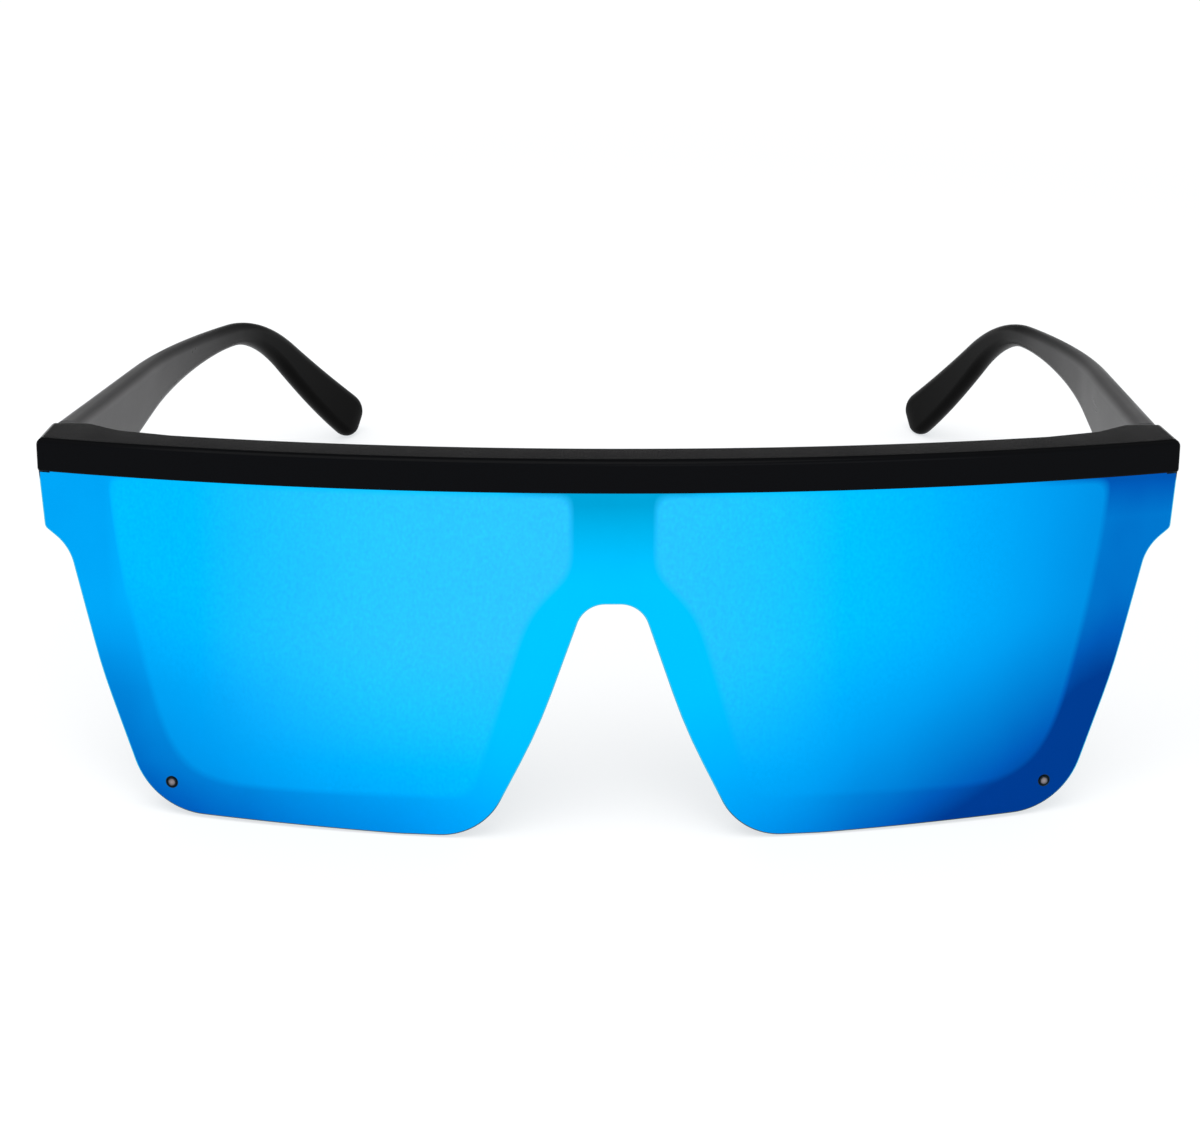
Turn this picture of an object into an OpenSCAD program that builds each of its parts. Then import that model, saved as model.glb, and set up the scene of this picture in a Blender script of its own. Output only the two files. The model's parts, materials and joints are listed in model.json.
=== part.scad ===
// Flat-top shield sunglasses: a curved front with one wide lens and two folding temples.
// The pair stands as it does on a table, on the two lens lobes and the two temple tips.
// Everything is drawn square to the front first, and stand() then leans it back on its tips.

/* [Front] */
// Half of the front's width, measured at the ends of the brow bar
front_half = 74.8; // [70:0.1:80]
// Radius of the lens's outer face, seen from above
base_r = 230; // [190:5:280]
// Height of the brow bar's lower edge above the lens lobes
brow_z = 46.6; // [44:0.2:52]
// Height of the brow bar's front face
brow_h = 4.4; // [3.6:0.2:6]
// How far the brow bar stands in front of the lens
brow_proud = 0.7; // [0.4:0.1:1.5]
// Depth of the brow bar behind the lens's outer face
brow_back = 6.9; // [5.6:0.1:8]
// Rounding of the brow bar's front edges
brow_round = 0.9; // [0.4:0.1:1.4]
// Thickness of the rims behind the lens
rim_t = 3; // [2.4:0.1:4]
// How far the rims stay inside the lens's edge
rim_inset = 0.6; // [0.3:0.1:1]
// Width of the bridge between the eye openings
bridge_w = 10.6; // [9:0.2:14]
// Height of the rims' lower bars
rim_low_w = 5.5; // [4.5:0.1:7]
// Width of the rims' outer bars, measured from the ends of the brow bar
rim_side_w = 9.6; // [8.6:0.1:12]

/* [Lens] */
// Lens thickness
lens_t = 1.8; // [1.4:0.1:2.2]
// Depth of the lens's top edge in the brow bar's groove
lens_tuck = 1.6; // [1:0.1:2]
// Height of the nose notch
notch_h = 31.9; // [28:0.1:34]
// Half width of the nose notch at its foot
notch_foot = 17; // [15:0.1:19]
// Height of the ears above the lobes
ear_z = 39.3; // [37:0.1:41]
// Height of the waist under each ear
ear_waist_z = 36.6; // [34:0.1:37.5]
// How far the lens narrows on each side under its ears
waist_inset = 3.7; // [2.5:0.1:6]
// How far the lens has narrowed on each side at its lower corners
lobe_inset = 13.7; // [11:0.1:17]
// Rise of the lower edge from the lowest point to the outer corner
lobe_rise = 1.2; // [0.6:0.1:2]
// Radius of the lens pins
pin_r = 0.65; // [0.5:0.05:0.9]
// Distance of the lens pins from the lens's lower corners
pin_inset = 2.8; // [2.6:0.1:6]
// Height of the lens pins above the lobes
pin_z = 5.2; // [4.6:0.1:7]

/* [Nose rests] */
// How far the nose rests stand behind the rims
rest_back = 5.5; // [3:0.1:7]
// Width of each nose rest
rest_w = 3.6; // [2.6:0.1:4]
// Length of each nose rest
rest_len = 20; // [16:0.5:22]
// Angle at which the nose rests open towards the face
rest_splay = 20; // [10:1:28]

/* [Endpieces and hinges] */
// Depth of the endpieces behind the lens's outer face
end_back = 10.6; // [10:0.1:13]
// Distance of the hinge pins from the outer side of the temples
hinge_inset = 4.8; // [4.6:0.1:5.2]
// Outer radius of the hinge knuckles
knuckle_r = 1.6; // [1.4:0.05:1.8]
// Height of one knuckle
knuckle_h = 2.2; // [1.8:0.1:2.6]
// Thickness of the hinge leaves
leaf_t = 0.9; // [0.7:0.05:1.1]
// Length of the front leaves
front_leaf_len = 6; // [5.6:0.1:6.4]
// Length of the temple leaves
temple_leaf_len = 9; // [8:0.2:12]
// Radius of the hinge screws
screw_r = 0.65; // [0.5:0.05:0.75]
// Radius of the leaf screws
fixing_r = 0.5; // [0.4:0.05:0.6]
// Length of the leaf screws in the plastic
fixing_len = 2; // [1.5:0.1:2.2]
// Gap between an endpiece and the open temple
seam_gap = 0.25; // [0.15:0.05:0.4]

/* [Temples] */
// How far the temples' outer sides stand inside the ends of the brow bar
temple_inset = 0.2; // [0:0.1:0.8]
// Outward angle of the open temples at the hinge
temple_splay = 4.4; // [0:0.1:6]
// Angle by which the left temple is drawn folded in from fully open
left_fold_angle = 7.5; // [0:0.5:20]
// Thickness of a temple at the hinge
temple_t = 4; // [3.6:0.1:4.4]
// Thickness of a temple at the tip
tip_t = 3.2; // [2.8:0.1:4]
// Height of a temple at the hinge
temple_h = 13.4; // [12.6:0.1:16]
// Height of a temple at its narrowest
waist_h = 3.7; // [3.4:0.1:6]
// Height of the paddle tip
tip_h = 8; // [7:0.1:11]
// Length of the straight stretch seen from above
temple_straight = 48; // [40:1:60]
// Radius of the inward curve seen from above
temple_curve_r = 185; // [170:5:260]
// Length of the inward curve
temple_curve_len = 94; // [86:0.5:100]
// Downward slope of the temples
temple_slope = 1.8; // [0:0.1:4]
// Distance of the ear bend from the hinge
bend_from = 94; // [90:0.5:100]
// Radius of the ear bend
bend_r = 46; // [40:1:60]
// Downward angle of the tips
tip_angle = 32; // [26:1:36]
// Rounding of the temples' long edges
temple_round = 1.1; // [0.6:0.1:1.4]

/* [Hidden] */
$fn = 96;

// Clearances: a bonded face, a pressed or threaded hole, a running bore and a swept pocket
bond_gap = 0.05;
press_gap = 0.02;
running_gap = 0.05;
sweep_gap = 0.3;
// A cut runs this far past the face that it opens
over = 1;

// Rear corner and lower corner of the endpieces, and the corner roundings of the outlines
end_round = 1.6;
end_corner = 0.8 * rim_inset;
end_slope_w = 7.5;
eye_corner = 3;
eye_low_corner = 9;
notch_top = 3.65;
notch_corner = 3.8;
notch_foot_corner = 9;
lobe_from_notch = 11;
lobe_corner = 10;
waist_corner = 3.5;
ear_corner = 0.9;
fillet_long = 40;
tip_round = 6;

right = 1;
left = -1;
sides = [left, right];

// Half widths that follow from the front's own half width
temple_half = front_half - temple_inset;
waist_half = front_half - waist_inset;
lobe_half = front_half - lobe_inset;
lobe_x = notch_foot + lobe_from_notch;
pin_x = lobe_half - pin_inset;

// Height of the brow bar's top, and the groove that takes the lens's top edge
front_top = brow_z + brow_h;
groove_half = front_half - 1.4;
lens_top = brow_z + lens_tuck;

// Places of the seam between endpiece and temple, and of the hinge axis
seam_y = sagitta(base_r, front_half) + end_back - 1;
hinge_x = temple_half - hinge_inset;
hinge_y = seam_y + seam_gap / 2;
hinge_z = (ear_z + front_top) / 2 - 0.6;
stack_half = 1.5 * knuckle_h;
seat_x = hinge_x + knuckle_r;
pocket_r = knuckle_r + sweep_gap;
knuckle_gap = 0.06;
fixing_head_r = 1.9 * fixing_r;
fixing_head_h = 0.4;
screw_head_r = 1.75 * screw_r;
screw_head_h = 0.6;

// Radii of the concentric faces of the front, seen from above
lens_back_r = base_r - lens_t;
rim_front_r = lens_back_r - bond_gap;
rim_back_r = rim_front_r - rim_t;

// How far a circle of radius r has curved back at a distance x from its foremost point
function sagitta(r, x) = base_r - sqrt(r * r - x * x);

function unit(v) = v / norm(v);
function turn(a) = a > 180 ? a - 360 : (a < -180 ? a + 360 : a);

// Arc that rounds the corner at b, between a and c, with radius r
function corner(a, b, c, r) =
    let (
        u = unit(a - b),
        w = unit(c - b),
        half = acos(u * w) / 2,
        centre = b + unit(u + w) * r / sin(half),
        first = b + u * r / tan(half) - centre,
        last = b + w * r / tan(half) - centre,
        start = atan2(first[1], first[0]),
        sweep = turn(atan2(last[1], last[0]) - start),
        steps = max(3, ceil(abs(sweep) / 14))
    )
    [for (i = [0 : steps]) centre + r * [cos(start + sweep * i / steps), sin(start + sweep * i / steps)]];

function flat(p) = [p[0], p[1]];

// Closed outline through points [x, y, r], each corner rounded with its own r
function rounded(points) =
    let (n = len(points))
    [
        for (i = [0 : n - 1])
            each (
                points[i][2] > 0
                ? corner(
                    flat(points[(i + n - 1) % n]),
                    flat(points[i]),
                    flat(points[(i + 1) % n]),
                    points[i][2]
                )
                : [flat(points[i])]
            )
    ];

// The same half outline on both sides: out along the right half and back along the left one
function both_halves(half) =
    concat(half, [for (i = [len(half) - 1 : -1 : 0]) [-half[i][0], half[i][1], half[i][2]]]);

// Half outline of the lens, from the nose notch round the lobe and the ear to the hidden top edge
lens_half_outline = [
    [notch_top, notch_h, notch_corner],
    [notch_foot * 0.56, notch_h * 0.47, 2 * fillet_long],
    [notch_foot, 0, notch_foot_corner],
    [lobe_x, 0, fillet_long],
    [lobe_half, lobe_rise, lobe_corner],
    [(lobe_half + waist_half) / 2 + 1.2, (ear_waist_z + lobe_rise) / 2 + 1.1, 2 * fillet_long],
    [waist_half, ear_waist_z, waist_corner],
    [front_half - 0.5, ear_z, ear_corner],
    [front_half, brow_z - bond_gap, 0],
    [groove_half, brow_z - bond_gap, 0],
    [groove_half, lens_top, 0]
];

// Half outline of the lens as it shows, closed at the brow bar, for the rims behind it
rim_half_outline = [
    for (i = [0 : len(lens_half_outline) - 4]) lens_half_outline[i],
    [front_half, front_top - brow_round, 0]
];

eye_in = bridge_w / 2;
eye_out = front_half - rim_side_w;
eye_outline = [
    [eye_in, brow_z - 1, eye_corner],
    [eye_in, notch_h + 5, eye_low_corner],
    [notch_foot + 2.6, rim_low_w, 5],
    [lobe_half - 0.4, rim_low_w + 0.4, eye_low_corner],
    [eye_out, ear_waist_z - 3.5, fillet_long],
    [eye_out, brow_z - 1, eye_corner]
];

// Front view of the whole front, with rounded lower corners at the brow bar's ends
end_low_z = ear_z + rim_inset;
front_view = both_halves([
    [0, -over, 0],
    [front_half - rim_inset, -over, 0],
    [front_half - rim_inset, brow_z, 0],
    [front_half, brow_z, end_corner],
    [front_half, front_top, brow_round],
    [0, front_top, 0]
]);

// Side profile of the brow bar as [radius, height] with rounded edges
brow_profile = [
    [base_r - brow_back, brow_z - 1.4, brow_round],
    [rim_front_r - 0.4, brow_z - 1.4, 0],
    [rim_front_r - 0.4, brow_z, 0],
    [base_r + brow_proud, brow_z, brow_round / 2],
    [base_r + brow_proud, front_top, brow_round],
    [base_r - brow_back, front_top, brow_round]
];

// Plan of one endpiece: the outer side, the seam, and the slope down to the brow bar
end_inner_x = hinge_x - 0.4;
end_plan = [
    [end_inner_x - end_slope_w - 3, sagitta(base_r, end_inner_x) + 2, 0],
    [front_half - 0.6, sagitta(base_r, front_half) + 1, 0],
    [front_half, sagitta(base_r, front_half) + 1.4, 0],
    [front_half, seam_y, end_round / 2],
    [end_inner_x, seam_y, end_round],
    [end_inner_x - end_slope_w, sagitta(base_r, end_inner_x) + brow_back - 0.2, 5],
    [end_inner_x - end_slope_w - 3, sagitta(base_r, end_inner_x) + brow_back - 1.4, 0]
];

// Path of a temple's outer top edge, by the distance q run along it in plan
temple_run = temple_straight + temple_curve_len;
function heading(q) = q < temple_straight ? 0 : (q - temple_straight) / temple_curve_r * 180 / PI;
function path_in(q) = temple_curve_r * (1 - cos(heading(q)));
function path_y(q) = q < temple_straight ? q : temple_straight + temple_curve_r * sin(heading(q));

bend_run = bend_r * (sin(tip_angle) - sin(temple_slope));
function dip(q) =
    q < bend_from ? temple_slope
    : (q < bend_from + bend_run ? asin(sin(temple_slope) + (q - bend_from) / bend_r) : tip_angle);
function path_drop(q) =
    min(q, bend_from) * tan(temple_slope)
    + (q > bend_from ? bend_r * (cos(temple_slope) - cos(dip(q))) : 0)
    + max(0, q - bend_from - bend_run) * tan(tip_angle);

// Height and thickness of a temple along its path
waist_at = bend_from + 1;
flare_run = 48;
taper_soft = 0.14;
function soft_root(v) = sqrt(v * v + taper_soft * taper_soft) - taper_soft;
function soften(v) = soft_root(v) / soft_root(1);
function ease(v) = v * v * (3 - 2 * v);
function blade_h(q) =
    q < waist_at
    ? waist_h + (temple_h - waist_h) * soften(1 - q / waist_at)
    : waist_h + (tip_h - waist_h) * ease(min(1, (q - waist_at) / flare_run));
function blade_t(q) = temple_t + (tip_t - temple_t) * q / temple_run;

// The last stretch rounds off like half an ellipse
function tip_share(q) =
    let (v = max(0, (q - temple_run + tip_round) / tip_round))
    sqrt(1 - v * v);

blade_steps = 14;
bend_steps = 16;
tip_steps = 5;
tip_last = 0.97;
stations = concat(
    [for (i = [0 : blade_steps - 1]) waist_at * i / blade_steps],
    [for (i = [0 : bend_steps - 1]) waist_at + (temple_run - tip_round - waist_at) * i / bend_steps],
    [for (i = [0 : tip_steps]) temple_run - tip_round + tip_round * tip_last * sin(90 * i / tip_steps)]
);

// Rounded rectangle section, as [depth from the outer side, height below the top edge]
corner_steps = 4;
function section(t, h, share) =
    let (
        r = min(temple_round, 0.48 * t * max(share, 0.5), 0.48 * h * share),
        half_t = t / 2 * (0.5 + 0.5 * share),
        half_h = h / 2 * share
    )
    [
        for (k = [0 : 3], i = [0 : corner_steps])
            let (
                a = 90 * k + 90 * i / corner_steps,
                cx = (k == 0 || k == 3) ? half_t - r : r - half_t,
                cz = k < 2 ? half_h - r : r - half_h
            )
            [t / 2 - (cx + r * cos(a)), h / 2 - (cz + r * sin(a))]
    ];

// A point of the section at q, on the right-hand temple before it is turned about its hinge.
// Sections stand square to the path, and the butt end's one lies in the plane of the endpiece's seam.
function butt_y(x) = hinge_y + seam_gap / (2 * cos(temple_splay)) + (x - hinge_x) * tan(temple_splay);
function on_path(q, p) =
    q == 0
    ? [temple_half - p[0], butt_y(temple_half - p[0]), front_top - p[1]]
    : [
        temple_half - path_in(q) - p[0] * cos(heading(q)) + p[1] * sin(dip(q)) * sin(heading(q)),
        seam_y + seam_gap + path_y(q) - p[0] * sin(heading(q)) - p[1] * sin(dip(q)) * cos(heading(q)),
        front_top - path_drop(q) - p[1] * cos(dip(q))
    ];

ring_size = 4 * (corner_steps + 1);
temple_points = [
    for (q = stations)
        each [for (p = section(blade_t(q), blade_h(q), tip_share(q))) on_path(q, p)]
];
last_ring = (len(stations) - 1) * ring_size;
function next_on_ring(i) = (i + 1) % ring_size;
temple_faces = concat(
    [[for (i = [ring_size - 1 : -1 : 0]) i]],
    [
        for (s = [0 : len(stations) - 2], i = [0 : ring_size - 1])
            let (a = s * ring_size, b = a + ring_size, j = next_on_ring(i))
            each [[a + i, b + j, b + i], [a + i, a + j, b + j]]
    ],
    [[for (i = [0 : ring_size - 1]) last_ring + i]]
);

// Turn of each temple about its hinge as drawn, inwards positive, and where that puts a point
function drawn_turn(side) = side == left ? left_fold_angle - temple_splay : -temple_splay;
function turned_x(side, p) =
    hinge_x + (p[0] - hinge_x) * cos(drawn_turn(side)) - (p[1] - hinge_y) * sin(drawn_turn(side));
function turned_y(side, p) =
    hinge_y + (p[0] - hinge_x) * sin(drawn_turn(side)) + (p[1] - hinge_y) * cos(drawn_turn(side));

// Lean of the standing pair: the lobes' rear edge and the lower edge of the tips touch the table
lobe_y = sagitta(base_r, lobe_x) + lens_t;
tip_low = [for (q = stations) on_path(q, [blade_t(q) / 2, blade_h(q) * (1 + tip_share(q)) / 2])];
lean = min([for (side = sides, p = tip_low) atan2(p[2], turned_y(side, p) - lobe_y)]);
stand_z = lobe_y * sin(lean);
reach_y = max([for (side = sides, p = temple_points) turned_y(side, p) * cos(lean) + p[2] * sin(lean)]);
middle_y = (sagitta(base_r, notch_foot + 1) + reach_y) / 2;

// The right temple's outward bow makes that side the wider one, so the pair's middle lies off the nose
function reach_x(side) = max(front_half, max([for (p = temple_points) turned_x(side, p)]));
middle_x = (reach_x(right) - reach_x(left)) / 2;

module stand() {
    translate([-middle_x, -middle_y, stand_z])
        rotate([-lean, 0, 0])
            children();
}

module on_side(side) {
    if (side == right) {
        children();
    } else {
        mirror([1, 0, 0])
            children();
    }
}

// The same, turned about the hinge as that side's temple is drawn
module on_temple(side) {
    on_side(side)
        translate([hinge_x, hinge_y, 0])
            rotate([0, 0, drawn_turn(side)])
                translate([-hinge_x, -hinge_y, 0])
                    children();
}

// Prism of a front view outline, from front_y back to back_y
module front_prism(outline, front_y, back_y) {
    translate([0, back_y, 0])
        rotate([90, 0, 0])
            linear_extrude(height = back_y - front_y)
                polygon(outline);
}

module front_shell(outer_r, inner_r, low_z, high_z) {
    translate([0, base_r, low_z])
        difference() {
            cylinder(r = outer_r, h = high_z - low_z, $fn = 360);
            translate([0, 0, -over])
                cylinder(r = inner_r, h = high_z - low_z + 2 * over, $fn = 360);
        }
}

module shell_piece(outline, outer_r, inner_r) {
    intersection() {
        front_shell(outer_r, inner_r, -over, front_top + over);
        front_prism(outline, -2 * over, 2 * seam_y);
    }
}

module brow_bar() {
    intersection() {
        translate([0, base_r, 0])
            rotate_extrude($fn = 360)
                polygon(rounded(brow_profile));
        front_prism(rounded(front_view), -2 * over, 2 * seam_y);
    }
}

module rims() {
    intersection() {
        front_shell(rim_front_r, rim_back_r, -over, front_top - brow_round);
        translate([0, 2 * seam_y, 0])
            rotate([90, 0, 0])
                linear_extrude(height = 2 * seam_y + 2 * over)
                    offset(delta = -rim_inset)
                        polygon(rounded(both_halves(rim_half_outline)));
    }
}

module endpiece(side) {
    on_side(side)
        intersection() {
            translate([0, 0, end_low_z])
                linear_extrude(height = front_top - end_low_z)
                    polygon(rounded(end_plan));
            front_prism(rounded(front_view), -2 * over, 2 * seam_y);
            translate([0, base_r, end_low_z - over])
                cylinder(r = rim_front_r, h = front_top, $fn = 360);
        }
}

// Ridge behind the notch's side: an arc in side view, opening towards the face
module nose_rest(side) {
    rest_low_z = 8;
    foot = [notch_foot - 4.4, rest_low_z];
    head = [notch_foot / 2 - 2.2, rest_low_z + rest_len];
    rest_z = (foot[1] + head[1]) / 2;
    rim_back_y = sagitta(rim_back_r, foot[0]);
    arc_r = (rest_len * rest_len / 4 + rest_back * rest_back) / (2 * rest_back);
    on_side(side)
        intersection() {
            translate([foot[0] + rim_inset, rim_back_y - rim_t / 2, 0])
                rotate([0, 0, -rest_splay])
                    translate([-foot[0], 0, 0])
                        front_prism(
                            rounded([
                                [foot[0], foot[1], 1.5],
                                [foot[0] + rest_w, foot[1], 1.5],
                                [head[0] + rest_w, head[1], 1.5],
                                [head[0], head[1], 1.5]
                            ]),
                            0,
                            3 * rest_back
                        );
            translate([0, rim_back_y + rest_back - arc_r, rest_z])
                rotate([0, 90, 0])
                    cylinder(r = arc_r, h = front_half);
        }
}

// Cuts in an endpiece or a temple for the swept knuckles and for a leaf lying on its seat
module hinge_pocket() {
    translate([hinge_x, hinge_y, -over])
        cylinder(r = pocket_r, h = hinge_z + stack_half + sweep_gap + over);
}

module leaf_pocket(from_y, to_y) {
    translate([seat_x - 3 * knuckle_r, from_y, hinge_z - stack_half - press_gap])
        cube([3 * knuckle_r, to_y - from_y, 2 * (stack_half + press_gap)]);
}

front_leaf_y = hinge_y - front_leaf_len - knuckle_r / 2;
temple_leaf_y = hinge_y + temple_leaf_len;
front_fixing_y = [front_leaf_y + 1.5, front_leaf_y + 1.5 + 2.2 * fixing_head_r];
temple_fixing_y = [temple_leaf_y - 1.5 - 3 * fixing_head_r, temple_leaf_y - 1.5];

module fixing_holes(places, r) {
    for (y = places)
        translate([seat_x - leaf_t - over, y, hinge_z])
            rotate([0, 90, 0])
                cylinder(r = r, h = leaf_t + over + fixing_len + press_gap);
}

module fixing_screws(places) {
    slot_w = 0.25;
    for (y = places)
        translate([seat_x - leaf_t, y, hinge_z])
            rotate([0, 90, 0])
                difference() {
                    union() {
                        translate([0, 0, -fixing_head_h])
                            cylinder(r = fixing_head_r, h = fixing_head_h);
                        cylinder(r = fixing_r, h = leaf_t + fixing_len);
                    }
                    translate([-slot_w / 2, -fixing_head_r - over, -fixing_head_h - over])
                        cube([slot_w, 2 * (fixing_head_r + over), over + fixing_head_h / 2]);
                }
}

pin_turn = asin(pin_x / base_r);

module lens_pin_shape(r, length, proud) {
    translate([0, base_r, pin_z])
        rotate([0, 0, pin_turn])
            translate([0, proud - base_r, 0])
                rotate([-90, 0, 0])
                    cylinder(r = r, h = length, $fn = 48);
}

module frame_front() {
    color([0.05, 0.05, 0.06])
        stand()
            difference() {
                union() {
                    brow_bar();
                    rims();
                    for (side = sides) {
                        endpiece(side);
                        nose_rest(side);
                    }
                }
                lens_groove();
                for (side = sides)
                    on_side(side) {
                        front_prism(rounded(eye_outline), -2 * over, seam_y - over);
                        hinge_pocket();
                        leaf_pocket(front_leaf_y - press_gap, seam_y + over);
                        fixing_holes(front_fixing_y, fixing_r + press_gap);
                        lens_pin_shape(pin_r + press_gap, lens_t + rim_t - 0.6, 0);
                    }
            }
}

module lens_groove() {
    intersection() {
        front_shell(base_r + bond_gap, rim_front_r, brow_z - over, lens_top + bond_gap);
        translate([-groove_half - bond_gap, -over, brow_z - over])
            cube([2 * (groove_half + bond_gap), 2 * seam_y, 2 * over + lens_tuck]);
    }
}

module shield_lens() {
    color([0.1, 0.6, 0.95, 0.8])
        stand()
            difference() {
                shell_piece(rounded(both_halves(lens_half_outline)), base_r, lens_back_r);
                for (side = sides)
                    on_side(side)
                        lens_pin_shape(pin_r + press_gap, 2 * lens_t, -over);
            }
}

module lens_pin(side) {
    pin_proud = 0.15;
    color([0.75, 0.76, 0.78])
        stand()
            on_side(side)
                union() {
                    lens_pin_shape(pin_r, lens_t + rim_t - 0.8, 0);
                    lens_pin_shape(pin_r * 0.8, pin_proud + 0.1, -pin_proud);
                }
}

module temple(side) {
    color([0.06, 0.06, 0.07])
        stand()
            on_temple(side)
                difference() {
                    polyhedron(points = temple_points, faces = temple_faces, convexity = 4);
                    hinge_pocket();
                    leaf_pocket(seam_y - over, temple_leaf_y + press_gap);
                    fixing_holes(temple_fixing_y, fixing_r + press_gap);
                }
}

module knuckle(low, high, bore_r) {
    translate([hinge_x, hinge_y, hinge_z])
        difference() {
            translate([0, 0, low])
                cylinder(r = knuckle_r, h = high - low);
            translate([0, 0, low - over])
                cylinder(r = bore_r, h = high - low + 2 * over);
        }
}

module leaf_plate(from_y, to_y, half_h) {
    translate([seat_x - leaf_t, from_y, hinge_z - half_h])
        cube([leaf_t, to_y - from_y, 2 * half_h]);
}

module screw_bore(r) {
    translate([hinge_x, hinge_y, hinge_z - stack_half - over])
        cylinder(r = r, h = 2 * (stack_half + over));
}

module hinge_front_leaf(side) {
    color([0.72, 0.72, 0.74])
        stand()
            on_side(side)
                difference() {
                    union() {
                        leaf_plate(front_leaf_y, hinge_y, stack_half);
                        knuckle(knuckle_h / 2, stack_half, screw_r);
                        knuckle(-stack_half, -knuckle_h / 2, screw_r);
                    }
                    screw_bore(screw_r + press_gap);
                    translate([hinge_x, hinge_y, hinge_z - knuckle_h / 2])
                        cylinder(r = pocket_r, h = knuckle_h);
                    fixing_holes(front_fixing_y, fixing_r + press_gap);
                }
}

module hinge_temple_leaf(side) {
    half_knuckle = knuckle_h / 2 - knuckle_gap;
    color([0.72, 0.72, 0.74])
        stand()
            on_temple(side)
                difference() {
                    union() {
                        leaf_plate(hinge_y, temple_leaf_y, half_knuckle);
                        leaf_plate(hinge_y + pocket_r, temple_leaf_y, stack_half);
                        knuckle(-half_knuckle, half_knuckle, screw_r);
                    }
                    screw_bore(screw_r + running_gap);
                    fixing_holes(temple_fixing_y, fixing_r + press_gap);
                }
}

module hinge_screw(side) {
    slot_w = 0.35;
    color([0.8, 0.8, 0.82])
        stand()
            on_side(side)
                translate([hinge_x, hinge_y, hinge_z - stack_half])
                    difference() {
                        union() {
                            cylinder(r = screw_r, h = 2 * stack_half);
                            translate([0, 0, -screw_head_h])
                                cylinder(r = screw_head_r, h = screw_head_h);
                        }
                        translate([-slot_w / 2, -2 * screw_head_r, -screw_head_h - over])
                            cube([slot_w, 4 * screw_head_r, over + screw_head_h / 2]);
                    }
}

module front_leaf_screws(side) {
    color([0.8, 0.8, 0.82])
        stand()
            on_side(side)
                fixing_screws(front_fixing_y);
}

module temple_leaf_screws(side) {
    color([0.8, 0.8, 0.82])
        stand()
            on_temple(side)
                fixing_screws(temple_fixing_y);
}

frame_front();
shield_lens();
lens_pin(left);  // lens_pin_left
lens_pin(right);  // lens_pin_right
temple(left);  // temple_left
temple(right);  // temple_right
hinge_front_leaf(left);  // hinge_front_leaf_left
hinge_front_leaf(right);  // hinge_front_leaf_right
hinge_temple_leaf(left);  // hinge_temple_leaf_left
hinge_temple_leaf(right);  // hinge_temple_leaf_right
hinge_screw(left);  // hinge_screw_left
hinge_screw(right);  // hinge_screw_right
front_leaf_screws(left);  // front_leaf_screws_left
front_leaf_screws(right);  // front_leaf_screws_right
temple_leaf_screws(left);  // temple_leaf_screws_left
temple_leaf_screws(right);  // temple_leaf_screws_right
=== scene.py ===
"""Flat-top shield sunglasses on a white table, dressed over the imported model.

Sizes are in millimetres and in the front's own axes, as in the part's source: x to the right, y back along
the temples, z up along the front, with z = 0 at the lens's lobes. to_row() gives the place on the table.
"""

from functools import partial
import json
import math

import bmesh
import bpy
from mathutils import Matrix, Vector
from mathutils.geometry import delaunay_2d_cdt

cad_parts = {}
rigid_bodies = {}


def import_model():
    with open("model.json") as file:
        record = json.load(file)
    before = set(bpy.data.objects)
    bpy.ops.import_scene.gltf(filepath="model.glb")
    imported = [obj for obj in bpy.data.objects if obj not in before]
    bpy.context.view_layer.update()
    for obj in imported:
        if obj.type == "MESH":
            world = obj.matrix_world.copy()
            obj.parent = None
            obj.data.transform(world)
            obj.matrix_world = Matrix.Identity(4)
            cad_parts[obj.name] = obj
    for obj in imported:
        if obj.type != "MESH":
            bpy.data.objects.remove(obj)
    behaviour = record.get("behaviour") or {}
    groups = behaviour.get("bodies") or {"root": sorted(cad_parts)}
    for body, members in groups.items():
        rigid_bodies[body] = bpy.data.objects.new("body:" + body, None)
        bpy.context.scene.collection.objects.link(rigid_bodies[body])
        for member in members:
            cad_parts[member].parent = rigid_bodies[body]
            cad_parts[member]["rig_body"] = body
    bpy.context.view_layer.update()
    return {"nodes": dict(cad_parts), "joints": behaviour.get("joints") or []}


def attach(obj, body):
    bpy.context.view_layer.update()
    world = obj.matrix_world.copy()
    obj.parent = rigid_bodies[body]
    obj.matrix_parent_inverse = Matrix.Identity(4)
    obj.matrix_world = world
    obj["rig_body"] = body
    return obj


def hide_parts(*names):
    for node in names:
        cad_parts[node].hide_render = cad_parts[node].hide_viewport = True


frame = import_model()

# A millimetre in metres, and the right and the left side
MM = 0.001
SIDES = (1, -1)

# Sizes of the part's source: the front
FRONT_HALF = 74.8
BASE_R = 230.0
BROW_Z = 46.6
FRONT_TOP = 51.0
BROW_PROUD = 0.7
BROW_BACK = 6.9
BROW_ROUND = 0.9
RIM_T = 3.0
RIM_INSET = 0.6
END_ROUND = 1.6

# The lens
LENS_T = 1.8
LENS_TOP = BROW_Z + 1.6
GROOVE_HALF = FRONT_HALF - 1.4
NOTCH_H = 31.9
NOTCH_TOP = 3.65
NOTCH_CORNER = 3.8
NOTCH_FOOT = 17.0
NOTCH_FOOT_CORNER = 9
LOBE_X = NOTCH_FOOT + 11
LOBE_HALF = 61.1
LOBE_RISE = 1.2
LOBE_CORNER = 10
FILLET_LONG = 40
WAIST_HALF = 71.1
WAIST_Z = 36.6
EAR_Z = 39.3
EAR_CORNER = 0.9
PIN = (58.3, 5.2, 0.65)

# The nose rests
REST_BACK = 5.5
REST_W = 3.6
REST_LEN = 20
REST_SPLAY = math.radians(20)
REST_FOOT_Z = 8

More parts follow.
